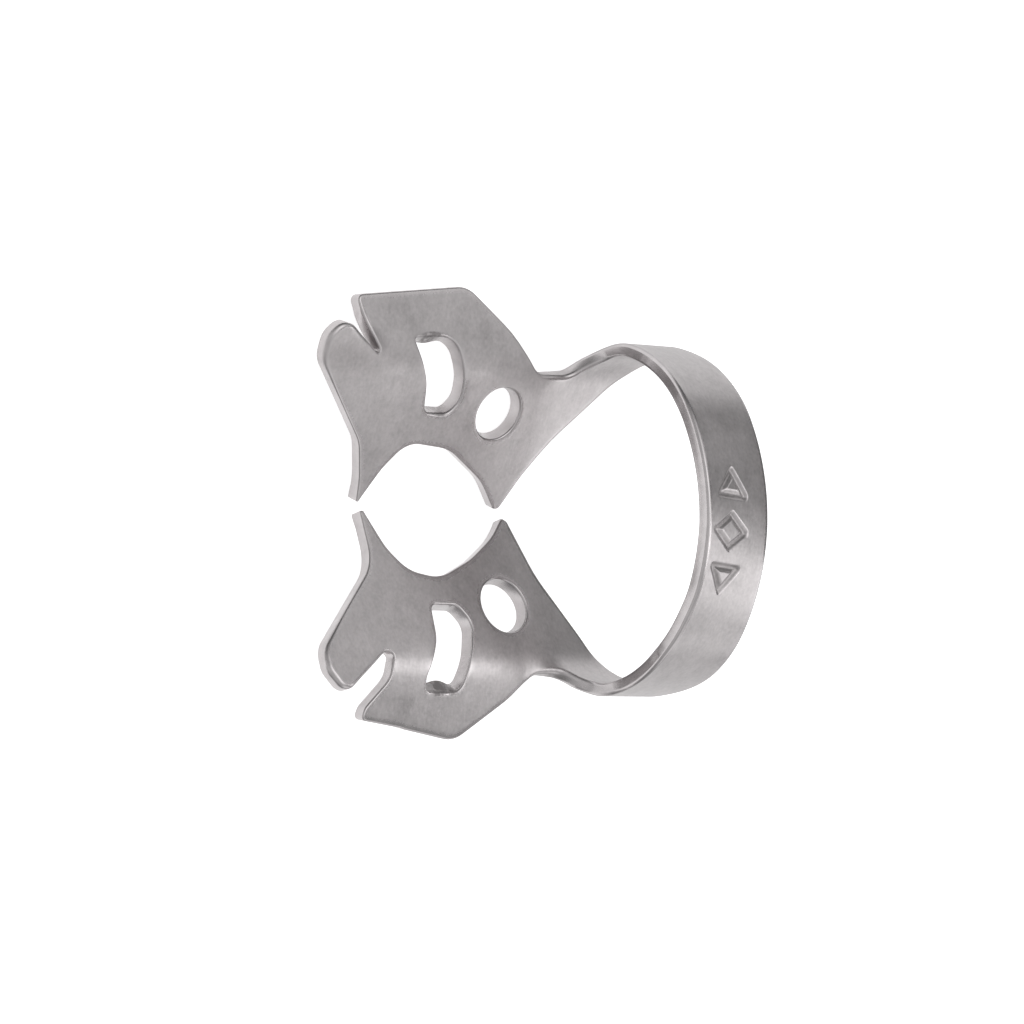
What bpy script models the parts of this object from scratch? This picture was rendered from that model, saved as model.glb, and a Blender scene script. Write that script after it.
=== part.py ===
"""Winged rubber dam clamp: one blank of spring steel, stamped, folded and bent into a bow.

The flat blank is drawn in (x, s): x runs from the front tongues towards the bow, s is the distance from the
midline measured along the sheet. The left jaw lies at +Y and the right jaw at -Y.
"""
import math

import bmesh
import bpy
import numpy as np
from mathutils import Matrix, Vector, geometry

NODE = "dam_clamp"
MM = 0.001

# the sheet
SHEET = 0.70 * MM           # thickness
EDGE_BREAK = 0.08 * MM      # softened stamped edges

# folds of the two jaws
BEAK_SLOPE = 20.2           # degrees, prongs slope down towards the midline
WING_SLOPE = -5.0           # degrees, wings drop slightly outwards
FOLD_AT = 7.90 * MM         # fold line between beak and wing
FOLD_HALF = 1.10 * MM
SLOT_BLEND = 0.80 * MM      # either side of the slot line the sheet turns from tongue to wing

# bends of the bow, followed from the beak to the middle of the arch
LEG_STARTS = 6.80 * MM
LEG_BEND_RADIUS = 3.00 * MM
LEG_RISE = 76.0             # degrees, slope at the foot of the leg
LEG_LENGTH = 0.80 * MM
LEG_LEANS_IN = 106.5        # degrees, slope where the shoulder starts
SHOULDER_RADIUS = 5.90 * MM
SHOULDER_ENDS = 154.5       # degrees, slope where the flat top starts
LEG_BLEND = (8.60 * MM, 11.20 * MM)     # the sheet turns from wing to leg between these x
BOW_LEAN = 5.0              # degrees, the bow leans away from the jaws
BOW_LEAN_HEIGHT = 4.0 * MM
BOW_LEAN_X = 11.1 * MM

# edges of the band at the middle of the bow
BAND_FRONT = 12.40 * MM
BAND_BACK = 17.58 * MM

# the clamp lies on the two prongs and the wing of its left jaw
RESTING_SIDE = Vector((0.0, 0.2, -1.0))

# how fine the sheet is divided
GRID = 0.75 * MM
EDGE_STEP = 0.60 * MM
CORNER_STEPS = 5


def mm(*corners):
    """Corner list (x, s, corner radius) in millimetres, turned into metres."""
    return [tuple(v * MM for v in c) for c in corners]


class Jaw:
    """Everything the stamping tool cuts on one side of the midline."""

    def __init__(self, side, edge, crescent, hole, slot_root, slot_angle):
        self.side = side
        self.edge = edge
        self.crescent = crescent
        self.hole = hole
        self.slot_root = slot_root
        self.slot_angle = slot_angle


LEFT = Jaw(
    side=1,
    edge=mm(
        # front edge of the leg, then the neck and the wing
        (12.20, 14.60, 6.00), (12.45, 11.20, 4.00), (12.15, 8.95, 1.60), (10.95, 7.66, 1.10),
        (8.90, 7.66, 1.10), (6.90, 9.68, 7.00), (3.60, 11.87, 2.00), (-4.42, 11.05, 0.60),
        # slot and tongue
        (-4.10, 10.22, 0.60), (-2.86, 8.40, 0.15), (-3.00, 8.17, 0.12), (-5.35, 9.71, 0.90),
        (-6.25, 9.62, 0.90), (-6.86, 8.93, 1.00), (-6.80, 7.60, 1.40), (-2.50, 3.46, 2.20),
        (-1.72, 1.60, 4.00),
        # front prong, arc between the prongs, rear prong
        (-1.42, 0.33, 0.10), (-1.26, 0.33, 0.10), (-0.30, 2.13, 3.00), (0.95, 3.60, 1.80),
        (4.05, 3.36, 3.50), (7.10, 1.74, 4.50), (8.60, 0.27, 0.22), (9.00, 0.27, 0.25),
        # back edge up to the band
        (9.95, 2.12, 6.00), (11.32, 4.10, 9.00), (15.50, 8.15, 4.00), (17.35, 11.40, 3.50)),
    crescent=mm((-0.33, 9.06, 0.12), (2.65, 9.27, 1.30), (3.60, 7.00, 3.00), (3.76, 6.02, 0.90),
        (3.15, 5.26, 0.80), (1.44, 5.28, 0.45), (1.05, 6.75, 3.00)),
    hole=(6.80 * MM, 5.42 * MM, 1.53 * MM, 1.39 * MM),
    slot_root=(-2.85 * MM, 8.25 * MM),
    slot_angle=141.0)

RIGHT = Jaw(
    side=-1,
    edge=mm(
        # front edge of the leg, then the neck and the wing
        (12.35, 17.30, 5.00), (11.86, 13.90, 5.00), (12.02, 11.00, 3.00), (11.55, 9.65, 1.50),
        (10.65, 8.50, 0.90), (9.35, 8.52, 0.80), (7.70, 9.82, 5.00), (4.05, 11.95, 2.00),
        (0.42, 11.39, 0.40), (0.05, 11.30, 0.40), (-2.80, 10.94, 0.30),
        # slot and tongue
        (-2.62, 10.32, 0.80), (-1.05, 8.86, 1.20), (-0.74, 7.50, 0.32), (-1.40, 7.46, 0.35),
        (-2.57, 8.29, 2.00), (-4.25, 9.43, 0.60), (-4.95, 9.41, 0.80), (-5.71, 8.45, 0.90),
        (-5.70, 7.25, 1.30), (-0.97, 2.85, 2.40),
        # front prong, arc between the prongs, rear prong
        (-1.04, 0.08, 0.10), (-0.76, 0.06, 0.10), (0.30, 1.98, 3.00), (1.55, 3.13, 2.50),
        (3.75, 3.50, 3.00), (6.30, 2.46, 5.00), (8.30, 1.23, 5.00), (9.33, 0.14, 0.15), (9.68, 0.30, 0.30),
        # back edge up to the band
        (10.95, 3.22, 6.00), (13.55, 6.70, 8.00), (14.95, 9.10, 3.00), (17.66, 11.60, 3.00)),
    crescent=mm((1.62, 9.42, 0.40), (4.15, 9.40, 0.80), (4.62, 8.10, 3.00), (5.40, 5.85, 0.90), (4.55, 4.93, 0.80),
        (2.66, 4.93, 0.35), (2.60, 6.70, 2.00), (1.62, 8.70, 0.80)),
    hole=(8.02 * MM, 4.87 * MM, 1.60 * MM, 1.42 * MM),
    slot_root=(-1.25 * MM, 7.75 * MM),
    slot_angle=140.0)


def rounded(corners, closed):
    """Polyline through corners, each corner replaced with an arc of its own radius."""
    points = []
    count = len(corners)
    for i, (x, s, radius) in enumerate(corners):
        if not closed and i in (0, count - 1):
            points.append((x, s))
            continue
        here = np.array((x, s))
        to_last = np.array(corners[i - 1][:2]) - here
        to_next = np.array(corners[(i + 1) % count][:2]) - here
        len_last, len_next = np.hypot(*to_last), np.hypot(*to_next)
        to_last, to_next = to_last / len_last, to_next / len_next
        half = math.acos(max(-1.0, min(1.0, float(to_last @ to_next)))) / 2
        if radius <= 0 or half > math.radians(89.0):
            points.append((x, s))
            continue
        cut = min(radius / math.tan(half), 0.48 * len_last, 0.48 * len_next)
        radius = cut * math.tan(half)
        middle = to_last + to_next
        centre = here + middle / np.hypot(*middle) * radius / math.sin(half)
        start, end = here + to_last * cut - centre, here + to_next * cut - centre
        a0, a1 = math.atan2(start[1], start[0]), math.atan2(end[1], end[0])
        turn = (a1 - a0 + math.pi) % (2 * math.pi) - math.pi
        steps = max(1, math.ceil(abs(turn) / (math.pi / 2) * CORNER_STEPS))
        for k in range(steps + 1):
            a = a0 + turn * k / steps
            points.append((centre[0] + radius * math.cos(a), centre[1] + radius * math.sin(a)))
    return points


def divided(points, closed):
    """The same line with no piece longer than EDGE_STEP."""
    ends = points[1:] + ([points[0]] if closed else [])
    line = []
    for a, b in zip(points, ends):
        n = max(1, math.ceil(math.dist(a, b) / EDGE_STEP))
        line += [(a[0] + (b[0] - a[0]) * k / n, a[1] + (b[1] - a[1]) * k / n) for k in range(n)]
    if not closed:
        line.append(points[-1])
    return line


def step(value, low, high):
    """Smooth step from 0 at low to 1 at high."""
    t = np.clip((value - low) / (high - low), 0.0, 1.0)
    return t * t * (3.0 - 2.0 * t)


def leg_table():
    """Slope of the sheet against s, from the prong up the leg to the middle of the bow."""
    s = [0.0, LEG_STARTS]
    slope = [math.radians(BEAK_SLOPE)] * 2
    for length, to in ((None, LEG_RISE), (LEG_LENGTH, LEG_LEANS_IN), (None, SHOULDER_ENDS)):
        to = math.radians(to)
        radius = LEG_BEND_RADIUS if len(s) == 2 else SHOULDER_RADIUS
        s.append(s[-1] + (length if length else radius * (to - slope[-1])))
        slope.append(to)
    fine = np.linspace(0.0, s[-1], 2001)
    reach = np.cos(np.interp(fine, s, slope))
    half_width = float(np.sum((reach[1:] + reach[:-1]) / 2) * (fine[1] - fine[0]))
    s.append(s[-1] + half_width * (math.pi - slope[-1]) / math.sin(math.pi - slope[-1]))
    slope.append(math.pi)
    return np.array(s), np.array(slope)


LEG_S, LEG_SLOPE = leg_table()
MIDDLE = float(LEG_S[-1])       # s at the middle of the bow


def run_up(slope_of, s):
    """Reach and height after following slope_of(s) from the midline out to s."""
    n = 160
    path = s[:, None] * np.linspace(0.0, 1.0, n + 1)[None, :]
    slope = slope_of(path)
    weight = np.ones(n + 1)
    weight[0] = weight[-1] = 0.5
    return (np.cos(slope) * weight).sum(1) * s / n, (np.sin(slope) * weight).sum(1) * s / n


def beak_run(s):
    """Sheet that keeps the slope of the beak, as the tongue does."""
    slope = math.radians(BEAK_SLOPE)
    return s * math.cos(slope), s * math.sin(slope)


def wing_run(s):
    """Sheet folded over at FOLD_AT into the wing."""
    low, high = math.radians(BEAK_SLOPE), math.radians(WING_SLOPE)
    return run_up(lambda p: low + (high - low) * step(p, FOLD_AT - FOLD_HALF, FOLD_AT + FOLD_HALF), s)


def leg_run(s):
    """Sheet bent up into the leg and over the bow."""
    return run_up(lambda p: np.interp(p, LEG_S, LEG_SLOPE), s)


def place(jaw, x, s):
    """Points of the upper face for blank points x, s of one jaw."""
    angle = math.radians(jaw.slot_angle)
    past_slot = math.cos(angle) * (s - jaw.slot_root[1]) - math.sin(angle) * (x - jaw.slot_root[0])
    wing = step(-past_slot, -SLOT_BLEND, SLOT_BLEND)
    leg = step(x, *LEG_BLEND)
    reach = (1 - leg) * ((1 - wing) * beak_run(s)[0] + wing * wing_run(s)[0]) + leg * leg_run(s)[0]
    height = (1 - leg) * ((1 - wing) * beak_run(s)[1] + wing * wing_run(s)[1]) + leg * leg_run(s)[1]
    lean = math.radians(BOW_LEAN) * np.clip(height / BOW_LEAN_HEIGHT, 0.0, 1.0) * leg
    across = x - BOW_LEAN_X
    return np.stack([BOW_LEAN_X + across * np.cos(lean) + height * np.sin(lean), reach * jaw.side,
                     height * np.cos(lean) - across * np.sin(lean)], 1)


def place_blank(points):
    """Upper face points and normals for blank points (x, u); u is 0 at the middle of the bow, negative left."""
    def at(x, u):
        """Surface points; each point is taken on the jaw whose side of the bow it lies on."""
        s = MIDDLE - np.abs(u)
        left, right = place(LEFT, x, s), place(RIGHT, x, s)
        return np.where((u < 0)[:, None], left, right)
    x, u = np.array([p[0] for p in points]), np.array([p[1] for p in points])
    d = 0.02 * MM
    normal = np.cross(at(x, u - d) - at(x, u + d), at(x + d, u) - at(x - d, u))
    return at(x, u), normal / np.linalg.norm(normal, axis=1)[:, None]


def to_blank(jaw, points):
    """Points (x, s) of one jaw as (x, u) of the whole blank."""
    return [(x, jaw.side * (s - MIDDLE)) for x, s in points]


def blank_outline():
    """Closed edge of the whole blank."""
    halves = []
    for jaw in (LEFT, RIGHT):
        corners = [(BAND_FRONT, MIDDLE, 0.0)] + jaw.edge + [(BAND_BACK, MIDDLE, 0.0)]
        halves.append(to_blank(jaw, divided(rounded(corners, False), False)))
    left, right = halves
    return left[:-1] + right[::-1][:-1]


def blank_openings():
    """Crescent and forceps hole of both jaws."""
    loops = []
    for jaw in (LEFT, RIGHT):
        loops.append(to_blank(jaw, divided(rounded(jaw.crescent, True), True)))
        cx, cs, half_length, half_width = jaw.hole
        turns = [math.tau * k / 28 for k in range(28)]
        loops.append(to_blank(jaw, [(cx + half_length * math.cos(a), cs + half_width * math.sin(a)) for a in turns]))
    return loops


def inset(loop, depth, inwards):
    """Loop moved by depth into the sheet."""
    n = len(loop)
    area = sum(loop[i - 1][0] * loop[i][1] - loop[i][0] * loop[i - 1][1] for i in range(n))
    sign = (1 if area > 0 else -1) * (1 if inwards else -1)
    moved = []
    for i, (x, y) in enumerate(loop):
        a, b = Vector(loop[i - 1]), Vector(loop[(i + 1) % n])
        p = Vector((x, y))
        d0, d1 = (p - a).normalized(), (b - p).normalized()
        n0, n1 = Vector((-d0.y, d0.x)), Vector((-d1.y, d1.x))
        m = (n0 + n1).normalized()
        m *= 1.0 / max(0.6, m.dot(n0))
        moved.append((x + m.x * depth * sign, y + m.y * depth * sign))
    return moved


def clear_of(point, loops, gap):
    """True where a point keeps gap from every edge."""
    return all(math.dist(point, q) > gap for loop in loops for q in loop)


def inside(point, loop):
    """True for a point within a closed loop."""
    x, y = point
    odd = False
    for (x0, y0), (x1, y1) in zip(loop, loop[1:] + loop[:1]):
        if (y0 > y) != (y1 > y) and x < x0 + (y - y0) / (y1 - y0) * (x1 - x0):
            odd = not odd
    return odd


def sheet_mesh():
    """The bent sheet as one closed mesh."""
    outline, openings = blank_outline(), blank_openings()
    loops = [outline] + openings
    rims = [inset(loop, EDGE_BREAK, i == 0) for i, loop in enumerate(loops)]
    verts, edges = [], []
    for rim in rims:
        start = len(verts)
        verts += rim
        edges += [(start + k, start + (k + 1) % len(rim)) for k in range(len(rim))]
    on_rim = len(verts)
    xs, us = [v[0] for v in verts], [v[1] for v in verts]
    row = 0
    u = min(us)
    while u < max(us):
        x = min(xs) + (row % 2) * GRID / 2
        while x < max(xs):
            if clear_of((x, u), rims, 0.55 * GRID):
                verts.append((x, u))
            x += GRID
        u += GRID * 0.86
        row += 1
    flat, _, faces, source, _, _ = geometry.delaunay_2d_cdt([Vector(v) for v in verts], edges, [], 1, 1e-9)
    middles = [sum((flat[v] for v in face), Vector((0.0, 0.0))) / len(face) for face in faces]
    faces = [face for face, m in zip(faces, middles) if not any(inside(m, rim) for rim in rims[1:])]
    index_of = {}
    for new, olds in enumerate(source):
        for old in olds:
            index_of[old] = new
    used = sorted({v for face in faces for v in face})
    renumber = {v: k for k, v in enumerate(used)}
    faces = [[renumber[v] for v in face] for face in faces]
    flat = [tuple(flat[v]) for v in used]
    upper, normal = place_blank(flat)
    bm = bmesh.new()
    top = [bm.verts.new(p) for p in upper]
    bottom = [bm.verts.new(p) for p in upper - normal * SHEET]
    for face in faces:
        bm.faces.new([top[v] for v in face])
        bm.faces.new([bottom[v] for v in reversed(face)])
    start = 0
    for loop in loops:
        surface, out = place_blank(loop)
        high = [bm.verts.new(p) for p in surface - out * EDGE_BREAK]
        low = [bm.verts.new(p) for p in surface - out * (SHEET - EDGE_BREAK)]
        rim = [renumber[index_of[start + k]] for k in range(len(loop))]
        rings = ([top[k] for k in rim], high, low, [bottom[k] for k in rim])
        for a, b in zip(rings, rings[1:]):
            for k in range(len(loop)):
                j = (k + 1) % len(loop)
                bm.faces.new((a[k], a[j], b[j], b[k]))
        start += len(loop)
    assert start == on_rim
    bmesh.ops.triangulate(bm, faces=bm.faces[:])
    bmesh.ops.recalc_face_normals(bm, faces=bm.faces[:])
    return bm


def centre_of_mass(bm):
    """Centre of mass of the closed solid."""
    volume, moment = 0.0, Vector((0.0, 0.0, 0.0))
    for face in bm.faces:
        a, b, c = (v.co for v in face.verts)
        part = a.dot(b.cross(c)) / 6.0
        volume += part
        moment += part * (a + b + c) / 4.0
    return moment / volume


def over(triangle, normal, point):
    """True where a point lies straight over a triangle."""
    ends = triangle[1:] + triangle[:1]
    return all((b - a).cross(point - a).dot(normal) >= 0.0 for a, b in zip(triangle, ends))


def settle(bm):
    """Lay the solid on the ground as it comes to rest, with the origin under the middle of it."""
    hull = bm.copy()
    shell = bmesh.ops.convex_hull(hull, input=hull.verts[:], use_existing_faces=False)["geom"]
    heavy = centre_of_mass(bm)
    rests = []
    for face in shell:
        if isinstance(face, bmesh.types.BMFace):
            corners = [v.co.copy() for v in face.verts]
            normal = (corners[1] - corners[0]).cross(corners[2] - corners[0]).normalized()
            if normal.dot(corners[0] - heavy) < 0.0:
                corners.reverse()
                normal.negate()
            if over(corners, normal, heavy):
                rests.append(normal)
    hull.free()
    down = max(rests, key=RESTING_SIDE.dot)
    bm.transform(down.rotation_difference(Vector((0.0, 0.0, -1.0))).to_matrix().to_4x4())
    low = Vector(min(v.co[i] for v in bm.verts) for i in range(3))
    high = Vector(max(v.co[i] for v in bm.verts) for i in range(3))
    bm.transform(Matrix.Translation((-(low.x + high.x) / 2, -(low.y + high.y) / 2, -low.z)))


def steel():
    """Satin stainless spring steel."""
    material = bpy.data.materials.new("satin_spring_steel")
    material.use_nodes = True
    shader = material.node_tree.nodes["Principled BSDF"]
    shader.inputs["Base Color"].default_value = (0.46, 0.44, 0.43, 1.0)
    shader.inputs["Metallic"].default_value = 1.0
    shader.inputs["Roughness"].default_value = 0.38
    return material


def build():
    """Clear the scene and make the clamp."""
    for old in list(bpy.data.objects):
        bpy.data.objects.remove(old)
    bm = sheet_mesh()
    settle(bm)
    mesh = bpy.data.meshes.new(NODE)
    bm.to_mesh(mesh)
    bm.free()
    mesh.materials.append(steel())
    for face in mesh.polygons:
        face.use_smooth = True
    clamp = bpy.data.objects.new(NODE, mesh)
    bpy.context.scene.collection.objects.link(clamp)


build()
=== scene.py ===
"""A winged dam clamp of satin spring steel, lying on a pale bench as it comes to rest.

The sheet is drawn flat in millimetres: x runs from the front tongues to the bow, s is the distance from
the midline along the sheet, and u is the distance from the middle of the bow, so that the whole blank
lies in (x, u).
"""
import logging
import math
from collections.abc import Callable, Sequence
from dataclasses import dataclass, field
from enum import Enum
from typing import ClassVar

import bmesh
import bpy
import numpy as np
from mathutils import Euler, Matrix, Vector, geometry, kdtree


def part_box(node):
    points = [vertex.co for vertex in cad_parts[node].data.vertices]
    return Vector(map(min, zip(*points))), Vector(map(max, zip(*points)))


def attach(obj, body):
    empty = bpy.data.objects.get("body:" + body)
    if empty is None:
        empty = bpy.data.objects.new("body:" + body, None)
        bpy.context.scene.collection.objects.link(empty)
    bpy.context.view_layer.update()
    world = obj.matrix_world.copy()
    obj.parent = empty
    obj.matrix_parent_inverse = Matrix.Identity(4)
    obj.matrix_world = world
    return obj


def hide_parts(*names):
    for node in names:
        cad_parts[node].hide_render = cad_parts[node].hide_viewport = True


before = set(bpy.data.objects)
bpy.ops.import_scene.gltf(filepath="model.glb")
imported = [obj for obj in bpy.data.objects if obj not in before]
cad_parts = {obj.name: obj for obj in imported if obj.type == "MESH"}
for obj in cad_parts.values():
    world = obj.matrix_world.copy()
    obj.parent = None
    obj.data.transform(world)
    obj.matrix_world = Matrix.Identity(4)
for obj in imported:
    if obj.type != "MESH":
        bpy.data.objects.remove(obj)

NODE = "dam_clamp"
SLOT = "satin_spring_steel"
MM = 0.001
# an arc takes this share of the lines beside it, and corners flatter than STRAIGHT get none
ARC_SHARE = 0.48
ARC_STEPS = 14
STRAIGHT = math.radians(89.0)
# rows of nearly even triangles, as a share of their side
ROW_STEP = 0.87

Corner = tuple[float, float, float]
Point = tuple[float, float]

log = logging.getLogger("dam_clamp")


class Side(Enum):
    """The two jaws, by the sign of their Y."""

    LEFT = 1
    RIGHT = -1


# The stamped blank


@dataclass(frozen=True)
class JawCut:
    """What the stamping tool cuts on one side of the midline, in millimetres."""

    side: Side
    edge: tuple[Corner, ...]
    crescent: tuple[Corner, ...]
    hole: tuple[float, float, float, float]
    slot_root: Point
    slot_angle: float

    def to_blank(self, points: Sequence[Point], middle: float) -> list[Point]:
        """Points (x, s) of this jaw as (x, u) of the whole blank."""
        return [(x, self.side.value * (s - middle)) for x, s in points]


LEFT_CUT = JawCut(
    side=Side.LEFT,
    edge=(
        # front edge of the leg, then the neck and the wing
        (12.20, 14.60, 6.00), (12.45, 11.20, 4.00), (12.15, 8.95, 1.60), (10.95, 7.66, 1.10),
        (8.90, 7.66, 1.10), (6.90, 9.68, 7.00), (3.60, 11.87, 2.00), (-4.42, 11.05, 0.60),
        # slot and tongue
        (-4.10, 10.22, 0.60), (-2.86, 8.40, 0.15), (-3.00, 8.17, 0.12), (-5.35, 9.71, 0.90),
        (-6.25, 9.62, 0.90), (-6.86, 8.93, 1.00), (-6.80, 7.60, 1.40), (-2.50, 3.46, 2.20),
        (-1.72, 1.60, 4.00),
        # front prong, arc between the prongs, rear prong
        (-1.42, 0.33, 0.10), (-1.26, 0.33, 0.10), (-0.30, 2.13, 3.00), (0.95, 3.60, 1.80),
        (4.05, 3.36, 3.50), (7.10, 1.74, 4.50), (8.60, 0.27, 0.22), (9.00, 0.27, 0.25),
        # back edge up to the band
        (9.95, 2.12, 6.00), (11.32, 4.10, 9.00), (15.50, 8.15, 4.00), (17.35, 11.40, 3.50)),
    crescent=((-0.33, 9.06, 0.12), (2.65, 9.27, 1.30), (3.60, 7.00, 3.00), (3.76, 6.02, 0.90),
        (3.15, 5.26, 0.80), (1.44, 5.28, 0.45), (1.05, 6.75, 3.00)),
    hole=(6.80, 5.42, 1.53, 1.39),
    slot_root=(-2.85, 8.25),
    slot_angle=141.0)

RIGHT_CUT = JawCut(
    side=Side.RIGHT,
    edge=(
        # front edge of the leg, then the neck and the wing
        (12.35, 17.30, 5.00), (11.86, 13.90, 5.00), (12.02, 11.00, 3.00), (11.55, 9.65, 1.50),
        (10.65, 8.50, 0.90), (9.35, 8.52, 0.80), (7.70, 9.82, 5.00), (4.05, 11.95, 2.00),
        (0.42, 11.39, 0.40), (0.05, 11.30, 0.40), (-2.80, 10.94, 0.30),
        # slot and tongue
        (-2.62, 10.32, 0.80), (-1.05, 8.86, 1.20), (-0.74, 7.50, 0.32), (-1.40, 7.46, 0.35),
        (-2.57, 8.29, 2.00), (-4.25, 9.43, 0.60), (-4.95, 9.41, 0.80), (-5.71, 8.45, 0.90),
        (-5.70, 7.25, 1.30), (-0.97, 2.85, 2.40),
        # front prong, arc between the prongs, rear prong
        (-1.04, 0.08, 0.10), (-0.76, 0.06, 0.10), (0.30, 1.98, 3.00), (1.55, 3.13, 2.50),
        (3.75, 3.50, 3.00), (6.30, 2.46, 5.00), (8.30, 1.23, 5.00), (9.33, 0.14, 0.15), (9.68, 0.30, 0.30),
        # back edge up to the band
        (10.95, 3.22, 6.00), (13.55, 6.70, 8.00), (14.95, 9.10, 3.00), (17.66, 11.60, 3.00)),
    crescent=((1.62, 9.42, 0.40), (4.15, 9.40, 0.80), (4.62, 8.10, 3.00), (5.40, 5.85, 0.90),
        (4.55, 4.93, 0.80), (2.66, 4.93, 0.35), (2.60, 6.70, 2.00), (1.62, 8.70, 0.80)),
    hole=(8.02, 4.87, 1.60, 1.42),
    slot_root=(-1.25, 7.75),
    slot_angle=140.0)


def in_scene(name: str, data: bpy.types.ID) -> bpy.types.Object:
    """New object of some data, linked into the scene."""
    made = bpy.data.objects.new(name, data)
    bpy.context.scene.collection.objects.link(made)
    return made


def smooth_step(value: np.ndarray, low: float, high: float) -> np.ndarray:
    """Smooth step from 0 at low to 1 at high."""
    t = np.clip((value - low) / (high - low), 0.0, 1.0)
    return t * t * (3.0 - 2.0 * t)


def rounded(corners: Sequence[Corner], closed: bool) -> list[Point]:
    """Line through corners, each of them replaced with an arc.

    Args:
        corners: (x, s, radius) in millimetres.
        closed: whether the last corner joins the first.

    Returns:
        The points of the rounded line.
    """
    points: list[Point] = []
    count = len(corners)
    for i, (x, s, radius) in enumerate(corners):
        here = np.array((x, s))
        to_last = np.array(corners[i - 1][:2]) - here
        to_next = np.array(corners[(i + 1) % count][:2]) - here
        len_last, len_next = float(np.hypot(*to_last)), float(np.hypot(*to_next))
        to_last, to_next = to_last / len_last, to_next / len_next
        half = math.acos(max(-1.0, min(1.0, float(to_last @ to_next)))) / 2
        if radius <= 0 or half > STRAIGHT or (not closed and i in (0, count - 1)):
            points.append((x, s))
            continue
        cut = min(radius / math.tan(half), ARC_SHARE * len_last, ARC_SHARE * len_next)
        radius = cut * math.tan(half)
        middle = to_last + to_next
        centre = here + middle / np.hypot(*middle) * radius / math.sin(half)
        start, end = here + to_last * cut - centre, here + to_next * cut - centre
        first = math.atan2(start[1], start[0])
        turn = (math.atan2(end[1], end[0]) - first + math.pi) % math.tau - math.pi
        steps = max(1, math.ceil(abs(turn) / (math.pi / 2) * ARC_STEPS))
        for angle in (first + turn * k / steps for k in range(steps + 1)):
            points.append((float(centre[0] + radius * math.cos(angle)),
                           float(centre[1] + radius * math.sin(angle))))
    return points


def even_spacing(points: Sequence[Point], step: float, fewest: int = 12) -> list[Point]:
    """Walk a closed line in even steps.

    Args:
        points: the line.
        step: about how long a step is.
        fewest: the least number of steps.

    Returns:
        The places stepped on.
    """
    line = np.array(list(points) + [points[0]])
    length = np.concatenate(([0.0], np.cumsum(np.hypot(*np.diff(line, axis=0).T))))
    at = np.linspace(0.0, length[-1], max(fewest, round(length[-1] / step)), endpoint=False)
    return list(zip(np.interp(at, length, line[:, 0]).tolist(), np.interp(at, length, line[:, 1]).tolist()))


def even_triangles(low: Sequence[float], high: Sequence[float], side: float) -> list[Point]:
    """Corners of even triangles that fill a box.

    Args:
        low: the box's lowest corner.
        high: its highest corner.
        side: length of a triangle's side.

    Returns:
        The corners, row by row.
    """
    rows = math.ceil((high[1] - low[1]) / (side * ROW_STEP))
    across = math.ceil((high[0] - low[0]) / side)
    return [(low[0] + (i + 0.5 * (j % 2)) * side, low[1] + j * side * ROW_STEP)
            for j in range(rows) for i in range(across)]


def inside(points: np.ndarray, loop: Sequence[Point]) -> np.ndarray:
    """Find which points lie within a closed loop.

    Args:
        points: one row (x, u) for each point.
        loop: the loop's own points.

    Returns:
        True for each point within it.
    """
    odd = np.zeros(len(points), bool)
    ends = list(loop[1:]) + [loop[0]]
    for (x0, u0), (x1, u1) in zip(loop, ends):
        if u0 != u1:
            crosses = (points[:, 1] < u0) != (points[:, 1] < u1)
            odd ^= crosses & (points[:, 0] < x0 + (points[:, 1] - u0) / (u1 - u0) * (x1 - x0))
    return odd


def nearest_of(points: Sequence[Point]) -> kdtree.KDTree:
    """Make a search tree.

    Args:
        points: places (x, u).

    Returns:
        A tree that finds the nearest of them.
    """
    tree = kdtree.KDTree(len(points))
    for i, (x, u) in enumerate(points):
        tree.insert((x, u, 0.0), i)
    tree.balance()
    return tree


def distances(tree: kdtree.KDTree, points: Sequence[Point]) -> np.ndarray:
    """Distance from each point to the nearest one in a search tree."""
    return np.array([tree.find((x, u, 0.0))[2] for x, u in points])


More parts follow.
